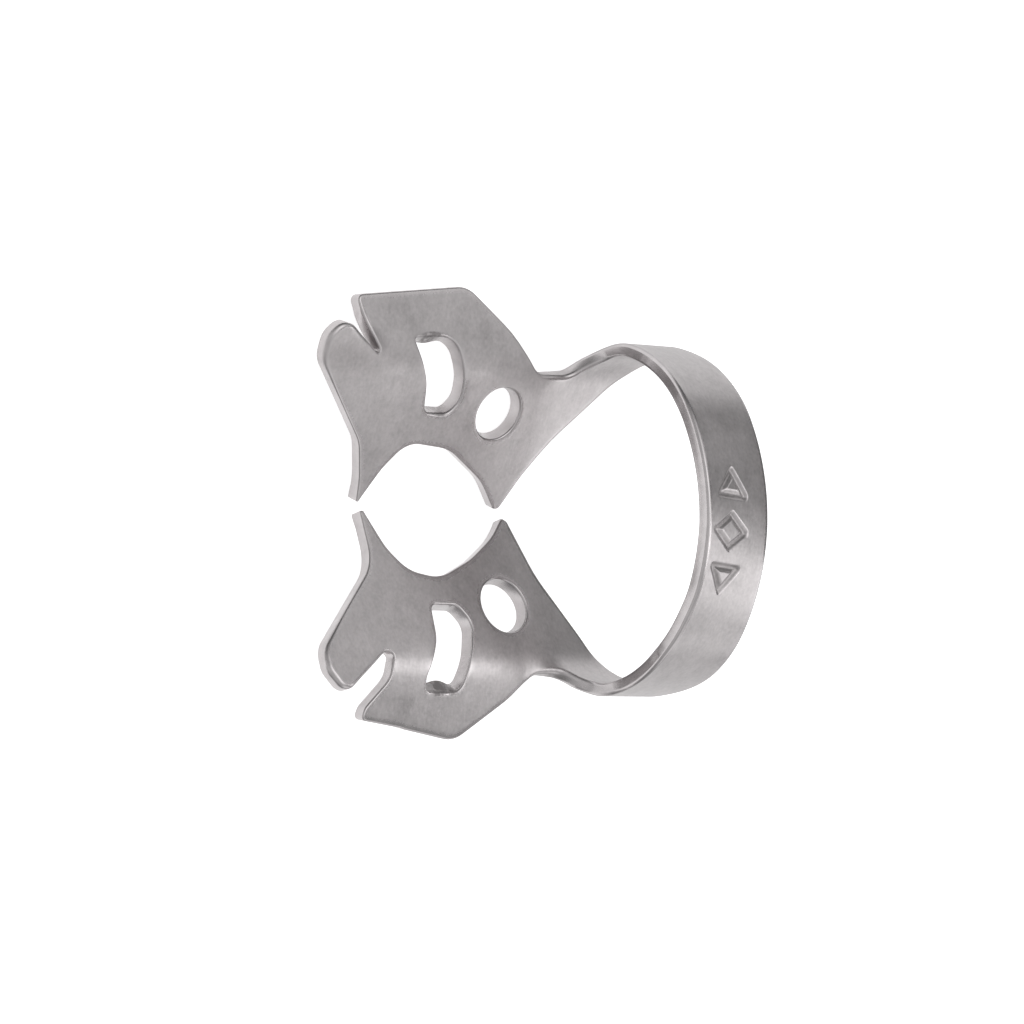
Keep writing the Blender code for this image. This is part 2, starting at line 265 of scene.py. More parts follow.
@dataclass(frozen=True)
class CutEdge:
    """One closed edge of the blank in (x, u).

    Attributes:
        points: its points.
        inward: the way into the sheet at each point.
        room: radius of the largest disc of sheet that touches the edge there, up to a limit.
    """

    MOST_ROOM: ClassVar[float] = 0.60
    LEAST_ROOM: ClassVar[float] = 0.03
    TRIES: ClassVar[int] = 16
    SHRINK: ClassVar[float] = 0.98
    TOUCHING: ClassVar[float] = 1e-4
    LEVEL: ClassVar[float] = 1e-6
    LOWEST_OVER: ClassVar[range] = range(-2, 3)
    MEAN_OVER: ClassVar[range] = range(-3, 4)

    points: np.ndarray
    inward: np.ndarray
    room: np.ndarray

    @classmethod
    def all_of(cls, loops: Sequence[Sequence[Point]]) -> list["CutEdge"]:
        """Find the edges of a blank.

        Args:
            loops: its outline, then its openings.

        Returns:
            One edge for each loop.
        """
        tree = nearest_of([p for loop in loops for p in loop])
        edges = []
        for i, loop in enumerate(loops):
            line = np.array(loop)
            after = np.roll(line, -1, axis=0)
            along = after - np.roll(line, 1, axis=0)
            along /= np.hypot(*along.T)[:, None]
            turns_left = float(np.sum(line[:, 0] * after[:, 1] - after[:, 0] * line[:, 1])) > 0
            inward = np.stack([-along[:, 1], along[:, 0]], 1) * (1 if turns_left == (i == 0) else -1)
            room = np.array([cls.disc(tree, p, n) for p, n in zip(line, inward)])
            room = np.min([np.roll(room, k) for k in cls.LOWEST_OVER], axis=0)
            edges.append(cls(line, inward, np.mean([np.roll(room, k) for k in cls.MEAN_OVER], axis=0)))
        return edges

    @classmethod
    def disc(cls, tree: kdtree.KDTree, point: np.ndarray, inward: np.ndarray) -> float:
        """Find the largest disc that touches the edge at a point and holds no other point of any edge.

        Args:
            tree: search tree of the edges' points.
            point: where it touches.
            inward: the way into the sheet there.

        Returns:
            Its radius.
        """
        radius = cls.MOST_ROOM
        for _ in range(cls.TRIES):
            found, _, distance = tree.find((*(point + inward * radius), 0.0))
            chord = np.array(found[:2]) - point
            rise = float(chord @ inward)
            if distance > radius - cls.TOUCHING or rise < cls.LEVEL:
                break
            radius = min(radius * cls.SHRINK, max(cls.LEAST_ROOM, float(chord @ chord) / (2 * rise)))
        return radius

    def moved_in(self, depth: np.ndarray | float, share: float, part: float = 1.0) -> np.ndarray:
        """The edge moved into the sheet.

        Args:
            depth: how far, where there is room.
            share: the most that is taken of the room.
            part: share of that distance that is gone.

        Returns:
            One row (x, u) for each point.
        """
        return self.points + self.inward * (np.minimum(depth, share * self.room) * part)[:, None]


# The bends


@dataclass(frozen=True)
class PaintedSheenSpot:
    """A spot on the left jaw where a highlight is painted into the colour, with its reach in millimetres."""

    x: float
    s: float
    reach: float
    share: float


@dataclass
class Bends:
    """How the flat blank is folded into jaws and bent up into the bow, in millimetres and degrees."""

    thickness: float = 0.70
    beak_slope: float = 20.2
    wing_slope: float = -5.0
    fold_at: float = 7.90
    fold_half: float = 1.10
    leg_starts: float = 6.80
    leg_bend_radius: float = 3.00
    leg_rise: float = 76.0
    leg_length: float = 0.80
    leg_leans_in: float = 106.5
    shoulder_radius: float = 5.90
    shoulder_ends: float = 154.5
    leg_blend: Point = (8.60, 11.20)
    slot_blend: float = 0.8
    bow_lean: float = 5.0
    bow_lean_height: float = 4.0
    bow_lean_x: float = 11.1
    # spots on the left jaw where a highlight is painted into the colour
    sheen_spots: tuple[PaintedSheenSpot, ...] = (
        PaintedSheenSpot(x=4.75, s=6.50, reach=1.00, share=1.90),
        PaintedSheenSpot(x=-1.40, s=6.30, reach=1.20, share=1.00),
    )
    reach_steps: int = 2000
    run_steps: int = 160
    path_s: np.ndarray = field(init=False)
    path_slope: np.ndarray = field(init=False)

    def __post_init__(self) -> None:
        """Work out the slope of the sheet from the prong, up the leg, to the middle of the bow."""
        s, slope = [0.0, self.leg_starts], [math.radians(self.beak_slope)] * 2
        stages = ((self.leg_bend_radius, None, self.leg_rise), (None, self.leg_length, self.leg_leans_in),
                  (self.shoulder_radius, None, self.shoulder_ends))
        for radius, length, ends_at in stages:
            angle = math.radians(ends_at)
            s.append(s[-1] + (length if radius is None else radius * (angle - slope[-1])))
            slope.append(angle)
        fine = np.linspace(0.0, s[-1], self.reach_steps + 1)
        reach = np.cos(np.interp(fine, s, slope))
        half_width = float(np.sum((reach[1:] + reach[:-1]) / 2) * (fine[1] - fine[0]))
        still_to_turn = math.pi - slope[-1]
        s.append(s[-1] + half_width * still_to_turn / math.sin(still_to_turn))
        slope.append(math.pi)
        self.path_s, self.path_slope = np.array(s), np.array(slope)

    @property
    def middle(self) -> float:
        """Distance s at the middle of the bow."""
        return float(self.path_s[-1])

    def run_up(self, slope_of: Callable[[np.ndarray], np.ndarray],
               s: np.ndarray) -> tuple[np.ndarray, np.ndarray]:
        """Follow a slope from the midline outwards.

        Args:
            slope_of: slope at each distance s.
            s: how far it is followed.

        Returns:
            The reach and the height at each s.
        """
        steps = self.run_steps
        slope = slope_of(s[:, None] * np.linspace(0.0, 1.0, steps + 1)[None, :])
        weight = np.ones(steps + 1)
        weight[0] = weight[-1] = 0.5
        return (np.cos(slope) * weight).sum(1) * s / steps, (np.sin(slope) * weight).sum(1) * s / steps

    def wing_slopes(self, s: np.ndarray) -> np.ndarray:
        """Slope along a wing, which folds over from the beak."""
        low, high = math.radians(self.beak_slope), math.radians(self.wing_slope)
        folded = smooth_step(s, self.fold_at - self.fold_half, self.fold_at + self.fold_half)
        return low + (high - low) * folded

    def leg_slopes(self, s: np.ndarray) -> np.ndarray:
        """Slope along a leg and over the bow."""
        return np.interp(s, self.path_s, self.path_slope)

    def upper_face(self, cut: JawCut, x: np.ndarray, s: np.ndarray) -> np.ndarray:
        """Points of the upper face of one jaw.

        Args:
            cut: the jaw.
            x: places along the midline.
            s: distances from the midline along the sheet.

        Returns:
            One row (x, y, z) for each place, in millimetres, before the clamp is laid down.
        """
        angle, beak = math.radians(cut.slot_angle), math.radians(self.beak_slope)
        past_slot = math.cos(angle) * (s - cut.slot_root[1]) - math.sin(angle) * (x - cut.slot_root[0])
        wing = smooth_step(-past_slot, -self.slot_blend, self.slot_blend)
        leg = smooth_step(x, *self.leg_blend)
        tongue_run = (s * math.cos(beak), s * math.sin(beak))
        wing_run, leg_run = self.run_up(self.wing_slopes, s), self.run_up(self.leg_slopes, s)
        reach, height = ((1 - leg) * ((1 - wing) * along_tongue + wing * along_wing) + leg * along_leg
                         for along_tongue, along_wing, along_leg in zip(tongue_run, wing_run, leg_run))
        lean = math.radians(self.bow_lean) * np.clip(height / self.bow_lean_height, 0.0, 1.0) * leg
        across = x - self.bow_lean_x
        return np.stack([self.bow_lean_x + across * np.cos(lean) + height * np.sin(lean),
                         reach * cut.side.value,
                         height * np.cos(lean) - across * np.sin(lean)], 1)

    def sheen_and_dulling_share(self, blank: np.ndarray) -> np.ndarray:
        """Find where a highlight is painted into the colour along the folds, the leg bends and a few spots.

        Args:
            blank: one row (x, u) for each place.

        Returns:
            About 1 where a highlight is painted into the colour, and below 0 where tumbling dulled it again.
        """
        x, u = blank[:, 0], blank[:, 1]
        s, leg = self.middle - np.abs(u), smooth_step(x, *self.leg_blend)
        foot_at = self.leg_starts + self.leg_bend_radius / 2
        # painted highlight along the wing fold and the leg bend, and at the spots; on the left jaw's fold
        # the value turns negative and only adds roughness
        fold = np.exp(-((s - self.fold_at) / self.fold_half) ** 2) * (1 - leg)
        foot = np.exp(-((s - foot_at) / self.leg_bend_radius) ** 2) * leg
        spots = sum(spot.share * np.exp(-((x - spot.x) ** 2 + (s - spot.s) ** 2) / spot.reach ** 2)
                    for spot in self.sheen_spots)
        return fold * np.sign(u) + foot + np.where(u < 0, spots, 0.0)

    def place(self, x: np.ndarray, u: np.ndarray) -> np.ndarray:
        """Upper face points for places (x, u) of the whole blank."""
        s = self.middle - np.abs(u)
        return np.where((u < 0)[:, None], self.upper_face(LEFT_CUT, x, s), self.upper_face(RIGHT_CUT, x, s))

    def surface(self, blank: np.ndarray, depth: np.ndarray, probe: float = 0.02) -> np.ndarray:
        """Find points in the bent sheet.

        Args:
            blank: one row (x, u) for each place.
            depth: how deep each point lies, square from the upper face.
            probe: how far apart the face is felt for its tilt.

        Returns:
            One row (x, y, z) for each place, in millimetres.
        """
        x, u = blank[:, 0], blank[:, 1]
        normal = np.cross(self.place(x, u - probe) - self.place(x, u + probe),
                          self.place(x + probe, u) - self.place(x - probe, u))
        normal /= np.linalg.norm(normal, axis=1)[:, None]
        return self.place(x, u) - normal * depth[:, None]


# Node trees


class NodeBench:
    """Adds nodes to one tree, each with its settings and the values or links of its sockets."""

    def __init__(self, tree: bpy.types.NodeTree) -> None:
        """Work on a tree."""
        self.tree = tree

    @classmethod
    def emptied(cls, owner: bpy.types.Material | bpy.types.World) -> "NodeBench":
        """Work on the emptied tree of a material or world."""
        owner.use_nodes = True
        owner.node_tree.nodes.clear()
        return cls(owner.node_tree)

    def add(self, kind: str, settings: dict | None = None, **sockets: object) -> bpy.types.Node:
        """Add a node.

        Args:
            kind: the node's type.
            settings: properties of the node, set first.
            sockets: values or links by socket name, with _ for a space, or by number after a _.

        Returns:
            The new node.
        """
        node = self.tree.nodes.new(kind)
        for name, value in (settings or {}).items():
            setattr(node, name, value)
        for name, value in sockets.items():
            plain = name.strip("_")
            socket = node.inputs[int(plain)] if plain.isdigit() else node.inputs[plain.replace("_", " ")]
            self.join(value, socket)
        return node

    def join(self, value: object, socket: bpy.types.NodeSocket) -> None:
        """Link a socket or a signal to an input, or set its plain value.

        Args:
            value: what the input gets.
            socket: the input.
        """
        if isinstance(value, Signal):
            value = value.socket
        if isinstance(value, bpy.types.NodeSocket):
            self.tree.links.new(value, socket)
        else:
            socket.default_value = value


class Signal:
    """A number on its way through a node tree, which takes part in Python sums."""

    def __init__(self, bench: NodeBench, socket: bpy.types.NodeSocket) -> None:
        """Wrap an output socket."""
        self.bench, self.socket = bench, socket

    def sum_with(self, operation: str, first: object, second: object = 0.0, clamp: bool = False) -> "Signal":
        """A Math node on two values."""
        settings = {"operation": operation, "use_clamp": clamp}
        return Signal(self.bench, self.bench.add("ShaderNodeMath", settings, _0=first, _1=second).outputs[0])

    def __add__(self, other: object) -> "Signal":
        """self + other."""
        return self.sum_with("ADD", self, other)

    __radd__ = __add__

    def __sub__(self, other: object) -> "Signal":
        """self - other."""
        return self.sum_with("SUBTRACT", self, other)

    def __rsub__(self, other: object) -> "Signal":
        """other - self."""
        return self.sum_with("SUBTRACT", other, self)

    def __mul__(self, other: object) -> "Signal":
        """self * other."""
        return self.sum_with("MULTIPLY", self, other)

    __rmul__ = __mul__

    def __truediv__(self, other: object) -> "Signal":
        """self / other."""
        return self.sum_with("DIVIDE", self, other)

    def __pow__(self, other: object) -> "Signal":
        """self ** other."""
        return self.sum_with("POWER", self, other)

    def clamped(self) -> "Signal":
        """The value kept from 0 to 1."""
        return self.sum_with("ADD", self, 0.0, clamp=True)


# Marks pressed into the band


@dataclass
class PressedMarks:
    """A row of plain punch marks, triangle, lozenge, triangle, pressed into the outer face of the band.

    Attributes:
        middle_x: place of the row's middle along the band's width.
        middle_u: place of its middle along the band.
        pitch: step from mark to mark.
        height: size of a mark across the band.
        length: size of a mark along the band.
        stroke: width of a pressed line.
        flat_share: share of the stroke that is pressed to its full depth.
        depth: how deep the strokes go.
        tilt: turn of the row in degrees.
        field_margin: closely set points reach this far past the marks.
        field_clear: the coarser points keep this far from them.
        field_step: distance between the closely set points.
    """

    middle_x: float = 14.35
    middle_u: float = 0.30
    pitch: float = 2.14
    height: float = 2.40
    length: float = 1.50
    stroke: float = 0.52
    flat_share: float = 0.15
    depth: float = 0.15
    tilt: float = 4.0
    field_margin: float = 0.35
    field_clear: float = 0.10
    field_step: float = 0.055

    @property
    def field_half(self) -> np.ndarray:
        """Half the size (x, u) of the field of closely set points."""
        return np.array((self.height / 2, self.pitch + self.length / 2)) + self.field_margin

    @property
    def field_middle(self) -> np.ndarray:
        """Middle (x, u) of that field."""
        return np.array((self.middle_x, self.middle_u))

    def field_points(self) -> list[Point]:
        """Closely set points over the marks, so that the strokes keep their form."""
        low, high = self.field_middle - self.field_half, self.field_middle + self.field_half
        return even_triangles(low.tolist(), high.tolist(), self.field_step)

    def covers(self, point: Point) -> bool:
        """True where the coarser points stay away."""
        away = np.abs(np.array(point) - self.field_middle)
        return bool(np.all(away < self.field_half + self.field_clear))

    @staticmethod
    def mark(bench: NodeBench, given: bpy.types.NodeOutputs, corners: int,
             turn: float) -> bpy.types.NodeSocket:
        """Draw one closed mark.

        Args:
            bench: the tree that it is drawn in.
            given: the tree's own inputs.
            corners: 3 for a triangle, 4 for a lozenge.
            turn: its turn in radians.

        Returns:
            The mark as an instance.
        """
        ring = bench.add("GeometryNodeCurvePrimitiveCircle", {"mode": "RADIUS"}, Resolution=corners,
                         Radius=0.5)
        size = bench.add("ShaderNodeCombineXYZ", X=given["Mark Height"], Y=given["Mark Length"], Z=1.0)
        turned = bench.add("GeometryNodeTransform", Geometry=ring.outputs["Curve"],
                           Rotation=(0.0, 0.0, turn))
        sized = bench.add("GeometryNodeTransform", Geometry=turned.outputs[0], Scale=size.outputs[0])
        return bench.add("GeometryNodeGeometryToInstance", Geometry=sized.outputs[0]).outputs[0]

    def tree(self) -> bpy.types.NodeTree:
        """Make the tree that repeats the marks along the band and stores how deep they press each point.

        Returns:
            The tree, with an input for each size.
        """
        tree = bpy.data.node_groups.new("press_marks", "GeometryNodeTree")
        face = tree.interface
        face.new_socket("Geometry", in_out="OUTPUT", socket_type="NodeSocketGeometry")
        sizes = dict.fromkeys(("Pitch", "Mark Height", "Mark Length", "Stroke", "Depth", "Tilt"), "Float")
        for name, kind in {"Geometry": "Geometry", **sizes, "Middle": "Vector", "Steel": "Material"}.items():
            face.new_socket(name, in_out="INPUT", socket_type=f"NodeSocket{kind}")
        bench = NodeBench(tree)
        given = bench.add("NodeGroupInput").outputs

        shapes = ((3, math.pi / 2), (4, 0.0), (3, -math.pi / 2))
        marks = bench.add("GeometryNodeJoinGeometry")
        for corners, turn in shapes:
            tree.links.new(self.mark(bench, given, corners, turn), marks.inputs[0])
        step = bench.add("ShaderNodeCombineXYZ", X=0.0, Y=given["Pitch"], Z=0.0)
        start = bench.add("ShaderNodeVectorMath", {"operation": "SCALE"}, _0=step.outputs[0], Scale=-1.0)
        row = bench.add("GeometryNodeMeshLine", {"mode": "OFFSET"}, Count=len(shapes),
                        Start_Location=start.outputs[0], Offset=step.outputs[0])
        spread = bench.add("GeometryNodeInstanceOnPoints", Points=row.outputs[0], Instance=marks.outputs[0],
                           Pick_Instance=True, Instance_Index=bench.add("GeometryNodeInputIndex").outputs[0])
        real = bench.add("GeometryNodeRealizeInstances", Geometry=spread.outputs[0])
        turn = bench.add("ShaderNodeCombineXYZ", X=0.0, Y=0.0, Z=given["Tilt"])
        set_down = bench.add("GeometryNodeTransform", Geometry=real.outputs[0], Translation=given["Middle"],
                             Rotation=turn.outputs[0])
        strokes = bench.add("GeometryNodeCurveToMesh", Curve=set_down.outputs[0])
        near = bench.add("GeometryNodeProximity", {"target_element": "EDGES"}, _0=strokes.outputs[0])
        half = Signal(bench, given["Stroke"]) * 0.5
        fall = bench.add("ShaderNodeMapRange", {"interpolation_type": "SMOOTHSTEP"},
                         Value=near.outputs["Distance"], From_Min=half * self.flat_share, From_Max=half,
                         To_Min=given["Depth"], To_Max=0.0)
        kept = bench.add("GeometryNodeStoreNamedAttribute", {"data_type": "FLOAT", "domain": "POINT"},
                         Geometry=given["Geometry"], Name="press", Value=fall.outputs[0])
        solid = bench.add("GeometryNodeRealizeInstances", Geometry=kept.outputs[0])
        steel = bench.add("GeometryNodeSetMaterial", Geometry=solid.outputs[0], Material=given["Steel"])
        bench.add("NodeGroupOutput", Geometry=steel.outputs[0])
        return tree

    def press(self, places: np.ndarray, faces: Sequence[tuple], steel: bpy.types.Material) -> np.ndarray:
        """Press the marks into the flat blank.

        Args:
            places: its points (x, u) in millimetres.
            faces: its triangles.
            steel: the finish handed through the tree.

        Returns:
            The depth pressed at each point, in millimetres.
        """
        blank = bpy.data.meshes.new("blank")
        blank.from_pydata([(x, u, 0.0) for x, u in places.tolist()], [], faces)
        flat = in_scene("blank", blank)
        tree = self.tree()
        modifier = flat.modifiers.new("press_marks", "NODES")
        modifier.node_group = tree
        values = {"Pitch": self.pitch, "Mark Height": self.height, "Mark Length": self.length,
                  "Stroke": self.stroke, "Depth": self.depth, "Tilt": math.radians(self.tilt),
                  "Middle": (self.middle_x, self.middle_u, 0.0), "Steel": steel}
        for item in tree.interface.items_tree:
            if item.in_out == "INPUT" and item.name in values:
                modifier[item.identifier] = values[item.name]
        graph = bpy.context.evaluated_depsgraph_get()
        pressed = bpy.data.meshes.new_from_object(flat.evaluated_get(graph), depsgraph=graph)
        flat.modifiers.clear()
        depth = np.zeros(len(pressed.vertices), np.float32)
        pressed.attributes["press"].data.foreach_get("value", depth)
        bpy.data.objects.remove(flat)
        for mesh in (blank, pressed):
            bpy.data.meshes.remove(mesh)
        return depth.astype(float)


# The sheet as one refined piece


@dataclass(frozen=True)
class EdgeSpot:
    """A place where tumbling rounded the upper edge further, or the punch tore it. Millimetres.

    Attributes:
        cut: the jaw that it is on.
        x: place along the midline.
        s: distance from the midline.
        reach: distance over which it fades.
        radius: what it adds to the edge's radius.
        torn: how rough the punch left the wall, from 0 to 1.
        shelf: width of the metal left below the edge.
    """

    cut: JawCut
    x: float
    s: float
    reach: float
    radius: float
    torn: float = 0.0
    shelf: float = 0.0

    def share(self, points: np.ndarray, middle: float) -> np.ndarray:
        """How far the spot takes in places (x, u), from 1 at its middle to 0."""
        at = np.array(self.cut.to_blank([(self.x, self.s)], middle)[0])
        return np.exp(-(np.hypot(*(points - at).T) / self.reach) ** 2)


@dataclass(frozen=True)
class Rim:
    """How one face of the sheet meets a cut edge. Millimetres.

    Attributes:
        face: depth of the face.
        way: 1 where the sheet lies deeper than the face, -1 where it lies above it.
        radius: radius of the rounding.
        run_out: how far the cut stands out from the edge at this face.
        torn: how rough the wall is, from 0 to 1.
    """

    face: float
    way: int
    radius: np.ndarray | float
    run_out: np.ndarray | float
    torn: np.ndarray


@dataclass
class SheetPoints:
    """The vertices of the sheet, gathered row by row, with their places and the values of their finish."""

    places: list[np.ndarray] = field(default_factory=list)
    depths: list[np.ndarray] = field(default_factory=list)
    finish: dict[str, list[np.ndarray]] = field(
        default_factory=lambda: {"press": [], "wear": [], "torn": []})
    total: int = 0

    def add(self, places: np.ndarray, depth: np.ndarray | float, **finish: np.ndarray | float) -> list[int]:
        """Add one row.

        Args:
            places: (x, u) of each vertex.
            depth: depth in the sheet.
            finish: press, wear and torn, each 0 where it isn't given.

        Returns:
            The numbers of the new vertices.
        """
        count = len(places)
        self.places.append(places)
        self.depths.append(np.broadcast_to(depth, count))
        for name, rows in self.finish.items():
            rows.append(np.broadcast_to(finish.get(name, 0.0), count))
        self.total += count
        return list(range(self.total - count, self.total))


@dataclass
class ClampSheet:
    """The clamp as one bent sheet, in the place of the plain solid, with its edges as stamped and tumbled.

    Attributes:
        bends: how it is folded.
        marks: what is pressed into its band.
        band_front: where the band's front edge is.
        band_back: where its back edge is.
        upper_radius: rounding of the jaws' upper edges.
        band_radius: rounding of the band's edges.
        lower_radius: rounding of the outline on the lower face.
        opening_radius: rounding of the openings on the lower face.
        opening_draft: how much narrower the openings are on the lower face.
        round_share: the most that a rounding takes of the edge's room.
        rim_inset: the plain face ends this far from the edge.
        rim_gap: or this far from the rounding, where that is more.
        rim_share: the most that it takes of the edge's room.
        edge_rings: steps of each rounding.
        edge_step: distance between the points of an edge.
        grid: distance between the points of the plain face.
        grid_clear: share of it that they keep from the edges.
        hole_points: points of a forceps hole before they are spaced evenly.
        wear_width: how far the edge's polish reaches in.
        spots: places where an edge differs.
        rest_turn: turn about X, Y and Z in degrees that lays the clamp down.
    """

    bends: Bends = field(default_factory=Bends)
    marks: PressedMarks = field(default_factory=PressedMarks)
    band_front: float = 12.40
    band_back: float = 17.58
    upper_radius: float = 0.11
    band_radius: float = 0.18
    lower_radius: float = 0.20
    opening_radius: float = 0.08
    opening_draft: float = 0.12
    round_share: float = 0.7
    rim_inset: float = 0.34
    rim_gap: float = 0.05
    rim_share: float = 0.8
    edge_rings: int = 7
    edge_step: float = 0.10
    grid: float = 0.26
    grid_clear: float = 0.45
    hole_points: int = 72
    wear_width: float = 0.16
    spots: tuple[EdgeSpot, ...] = (
        EdgeSpot(LEFT_CUT, x=-6.70, s=8.60, reach=2.20, radius=0.20),
        EdgeSpot(RIGHT_CUT, x=-5.60, s=8.20, reach=2.20, radius=0.20),
        EdgeSpot(LEFT_CUT, x=0.90, s=9.15, reach=0.75, radius=0.14, torn=1.0, shelf=0.12),
        EdgeSpot(RIGHT_CUT, x=2.90, s=9.40, reach=1.00, radius=0.08, torn=1.0, shelf=0.34),
        EdgeSpot(LEFT_CUT, x=2.60, s=5.30, reach=0.80, radius=0.10, torn=0.5),
        EdgeSpot(LEFT_CUT, x=9.60, s=7.66, reach=1.60, radius=0.12),
        EdgeSpot(RIGHT_CUT, x=10.20, s=8.50, reach=1.40, radius=0.10, torn=0.3),
    )
    rest_turn: tuple[float, float, float] = (-11.8791, -0.0494, 0.0052)

    def edges(self) -> list[CutEdge]:
        """Draw the blank's edges.

        Returns:
            The outline, then each jaw's crescent and forceps hole.
        """
        middle = self.bends.middle
        halves, openings = [], []
        for cut in (LEFT_CUT, RIGHT_CUT):
            corners = [(self.band_front, middle, 0.0), *cut.edge, (self.band_back, middle, 0.0)]
            halves.append(cut.to_blank(rounded(corners, False), middle))
            openings.append(cut.to_blank(rounded(cut.crescent, True), middle))
            x, s, half_length, half_width = cut.hole
            turns = np.linspace(0.0, math.tau, self.hole_points, endpoint=False)
            ring = [(x + half_length * math.cos(a), s + half_width * math.sin(a)) for a in turns]
            openings.append(cut.to_blank(ring, middle))
        outline = halves[0][:-1] + halves[1][::-1][:-1]
        return CutEdge.all_of([even_spacing(line, self.edge_step) for line in (outline, *openings)])

    def fill_points(self, rims: Sequence[Sequence[Point]]) -> list[Point]:
        """Set points all over the plain face, close together under the marks.

        Args:
            rims: where the plain face ends, the outline first.

        Returns:
            The points, clear of the rims.
        """
        low, high = np.array(rims[0]).min(0), np.array(rims[0]).max(0)
        plain = even_triangles(low, high, self.grid)
        chosen = [p for p in plain if not self.marks.covers(p)] + self.marks.field_points()
        near = distances(nearest_of([p for rim in rims for p in rim]), chosen)
        keep = (near > self.grid_clear * self.grid) & inside(np.array(chosen), rims[0])
        for rim in rims[1:]:
            keep &= ~inside(np.array(chosen), rim)
        return [p for p, kept in zip(chosen, keep) if kept]

    def flat_faces(self, rims: Sequence[Sequence[Point]],
                   merge: float = 1e-7) -> tuple[np.ndarray, list[tuple], list[list[int]]]:
        """Triangles of the flat blank.

        Args:
            rims: the outline and openings, moved into the sheet.
            merge: points nearer than this become one.

        Returns:
            The points, the triangles, and for each rim the numbers of its points.
        """
        points, edges, starts = [], [], []
        for rim in rims:
            starts.append(len(points))
            edges += [(len(points) + k, len(points) + (k + 1) % len(rim)) for k in range(len(rim))]
            points += rim
        points += self.fill_points(rims)
        flat, _, faces, source, _, _ = geometry.delaunay_2d_cdt(
            [Vector(p) for p in points], edges, [], 1, merge)
        places = np.array([tuple(p) for p in flat])
        middles = np.array([places[list(face)].mean(0) for face in faces])
        kept = np.ones(len(faces), bool)
        for rim in rims[1:]:
            kept &= ~inside(middles, rim)
        faces = [tuple(face) for face, is_kept in zip(faces, kept) if is_kept]
        new_of = {old: new for new, olds in enumerate(source) for old in olds}
        used = sorted({v for face in faces for v in face})
        number = {v: k for k, v in enumerate(used)}
        rings = [[number[new_of[start + k]] for k in range(len(rim))] for start, rim in zip(starts, rims)]
        return places[used], [tuple(number[v] for v in face) for face in faces], rings

    def rim_rings(self, rows: SheetPoints, edge: CutEdge, rim: Rim) -> list[list[int]]:
        """Round one side of an edge.

        Args:
            rows: gets the new vertices.
            edge: the edge.
            rim: its side.

        Returns:
            The numbers of each ring's vertices, from the face to the wall.
        """
        rings = []
        for angle in (math.pi / 2 * k / self.edge_rings for k in range(self.edge_rings + 1)):
            line = edge.moved_in(rim.radius, self.round_share, 1 - math.sin(angle))
            drop = np.minimum(rim.radius, self.round_share * edge.room) * (1 - math.cos(angle))
            rings.append(rows.add(line - edge.inward * np.reshape(rim.run_out, (-1, 1)),
                                  rim.face + rim.way * drop, wear=1.0, torn=rim.torn))
        return rings

    def build(self, steel: bpy.types.Material) -> bpy.types.Object:
        """Make the bent sheet.

        Args:
            steel: its finish.

        Returns:
            The finished object, in place.
        """
        edges = self.edges()
        more = self.band_radius - self.upper_radius
        spots = [self.spot_sums(edge.points) for edge in edges]
        radii = [self.upper_radius + more * smooth_step(edge.points[:, 0], *self.bends.leg_blend) + extra
                 for edge, (extra, _, _) in zip(edges, spots)]
        insets = [np.maximum(self.rim_inset, radius + self.rim_gap) for radius in radii]
        places, faces, rings = self.flat_faces([
            [tuple(p) for p in edge.moved_in(inset, self.rim_share).tolist()]
            for edge, inset in zip(edges, insets)])
        press, wear = self.marks.press(places, faces, steel), self.rim_wear(places, edges)

        thick, count, rows = self.bends.thickness, len(places), SheetPoints()
        rows.add(places, 0.0, wear=wear)
        rows.add(places, thick - press, press=press / self.marks.depth, wear=wear)
        triangles = list(faces) + [tuple(v + count for v in reversed(face)) for face in faces]
        for edge, ring, radius, (_, torn, shelf) in zip(edges, rings, radii, spots):
            opening = edge is not edges[0]
            below = self.opening_radius if opening else self.lower_radius
            run_out = opening * self.opening_draft + shelf
            upper = self.rim_rings(rows, edge, Rim(0.0, 1, radius, 0.0, torn))
            lower = self.rim_rings(rows, edge, Rim(thick, -1, below, run_out, torn))
            ladder = [ring, *upper, *lower[::-1], [v + count for v in ring]]
            for a, b in zip(ladder, ladder[1:]):
                for k in range(len(a)):
                    j = (k + 1) % len(a)
                    triangles += [(a[k], a[j], b[j]), (a[k], b[j], b[k])]

        blank = np.concatenate(rows.places)
        piece = self.to_object(self.bends.surface(blank, np.concatenate(rows.depths)) * MM, triangles, steel)
        finish = {name: np.concatenate(values) for name, values in rows.finish.items()}
        # the last attribute carries the painted highlight along the bends, and below 0 the dulled folds
        for name, values in (finish | {"painted_sheen_and_dulling": self.bends.sheen_and_dulling_share(blank)}).items():
            layer = piece.data.attributes.new(name, "FLOAT", "POINT")
            layer.data.foreach_set("value", values.astype(np.float32))
        return piece

    def spot_sums(self, points: np.ndarray) -> np.ndarray:
        """Radius, torn and shelf that the spots add up to at places (x, u), one row for each."""
        return sum(np.outer((spot.radius, spot.torn, spot.shelf), spot.share(points, self.bends.middle))
                   for spot in self.spots)

    def rim_wear(self, places: np.ndarray, edges: Sequence[CutEdge]) -> np.ndarray:
        """How much the edge's polish reaches in from the nearest edge, from 1 to 0."""
        near = distances(nearest_of([p for edge in edges for p in edge.points.tolist()]), places.tolist())
        return np.exp(-np.maximum(near - self.upper_radius, 0.0) / self.wear_width)

